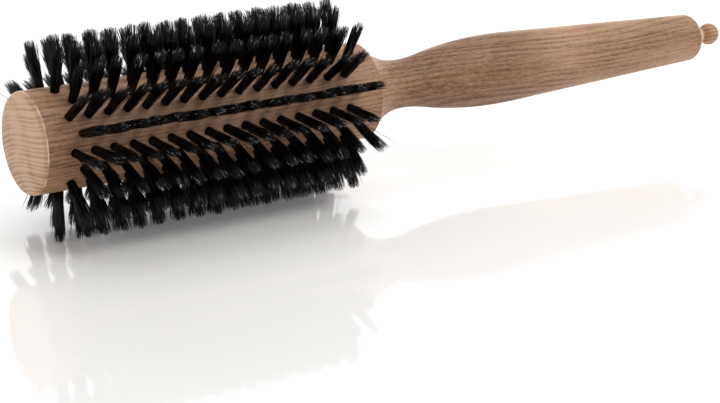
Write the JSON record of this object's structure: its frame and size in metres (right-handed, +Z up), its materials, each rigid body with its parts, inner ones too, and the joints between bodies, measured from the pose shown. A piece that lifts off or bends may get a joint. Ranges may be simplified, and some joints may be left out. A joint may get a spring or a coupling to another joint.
{
  "type": "round barrel hair brush",
  "caption": "Wooden round hair brush: cylindrical barrel with staggered rows of bristle tufts, turned handle and a pull-out sectioning pick.",
  "frame": {"origin": "under the middle of the brush's length, on the surface that its bristle tips rest on", "axes": "+X along the brush's axis from the barrel's free end to the pick's ball head, +Z up, with two rows of tufts standing evenly about straight down"},
  "size_m": [0.2606, 0.06, 0.0592],
  "materials": {
    "wood": "satin",
    "collar": "satin",
    "ball": "satin",
    "pin": "satin",
    "bristle": "glossy",
    "anchor_wire": "plain"
  },
  "bodies": {
    "brush": {"barrel_handle": "wood", "pick_bush": "collar", "tuft_row_01": "bristle", "tuft_row_02": "bristle", "tuft_row_03": "bristle", "tuft_row_04": "bristle", "tuft_row_05": "bristle", "tuft_row_06": "bristle", "tuft_row_07": "bristle", "tuft_row_08": "bristle", "tuft_row_09": "bristle", "tuft_row_10": "bristle", "tuft_row_11": "bristle", "tuft_row_12": "bristle", "tuft_row_13": "bristle", "tuft_row_14": "bristle", "tuft_row_15": "bristle", "tuft_row_16": "bristle", "tuft_row_17": "bristle", "tuft_row_18": "bristle", "anchor_row_01": "anchor_wire", "anchor_row_02": "anchor_wire", "anchor_row_03": "anchor_wire", "anchor_row_04": "anchor_wire", "anchor_row_05": "anchor_wire", "anchor_row_06": "anchor_wire", "anchor_row_07": "anchor_wire", "anchor_row_08": "anchor_wire", "anchor_row_09": "anchor_wire", "anchor_row_10": "anchor_wire", "anchor_row_11": "anchor_wire", "anchor_row_12": "anchor_wire", "anchor_row_13": "anchor_wire", "anchor_row_14": "anchor_wire", "anchor_row_15": "anchor_wire", "anchor_row_16": "anchor_wire", "anchor_row_17": "anchor_wire", "anchor_row_18": "anchor_wire"},
    "sectioning_pick": {"pick_head": "ball", "pick_pin": "pin"}
  },
  "joints": [
    {"name": "pick_slide", "type": "slide", "parent": "brush", "child": "sectioning_pick", "axis": [1, 0, 0], "range_m": [0, 0.085]}
  ]
}
